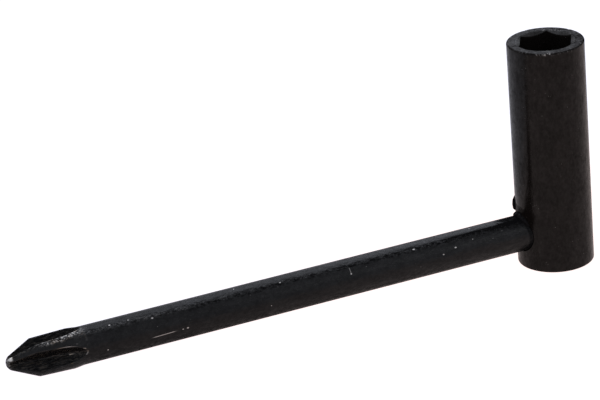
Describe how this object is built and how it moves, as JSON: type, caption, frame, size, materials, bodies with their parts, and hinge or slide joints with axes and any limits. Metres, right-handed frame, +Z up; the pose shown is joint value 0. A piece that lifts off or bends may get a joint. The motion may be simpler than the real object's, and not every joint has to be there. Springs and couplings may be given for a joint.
{
  "type": "angled socket key with cross-point driver",
  "caption": "L-shaped black steel hand key: a round barrel with a hexagon socket turns a nut or plug, and a round rod set square to it is the lever and ends in a cross-point driver tip.",
  "frame": {"origin": "centre of the barrel's flat base", "axes": "+Z up the barrel's axis and out of the hexagon socket's mouth, -X along the rod and out past its cross point, +Y completes the right-handed frame"},
  "size_m": [0.1008, 0.0124, 0.038],
  "materials": {
    "barrel_steel": "satin",
    "rod_steel": "satin",
    "weld_metal": "satin"
  },
  "bodies": {
    "root": {"socket_barrel": "barrel_steel", "driver_rod": "rod_steel", "weld_bead": "weld_metal", "weld_spatter": "weld_metal"}
  },
  "joints": []
}
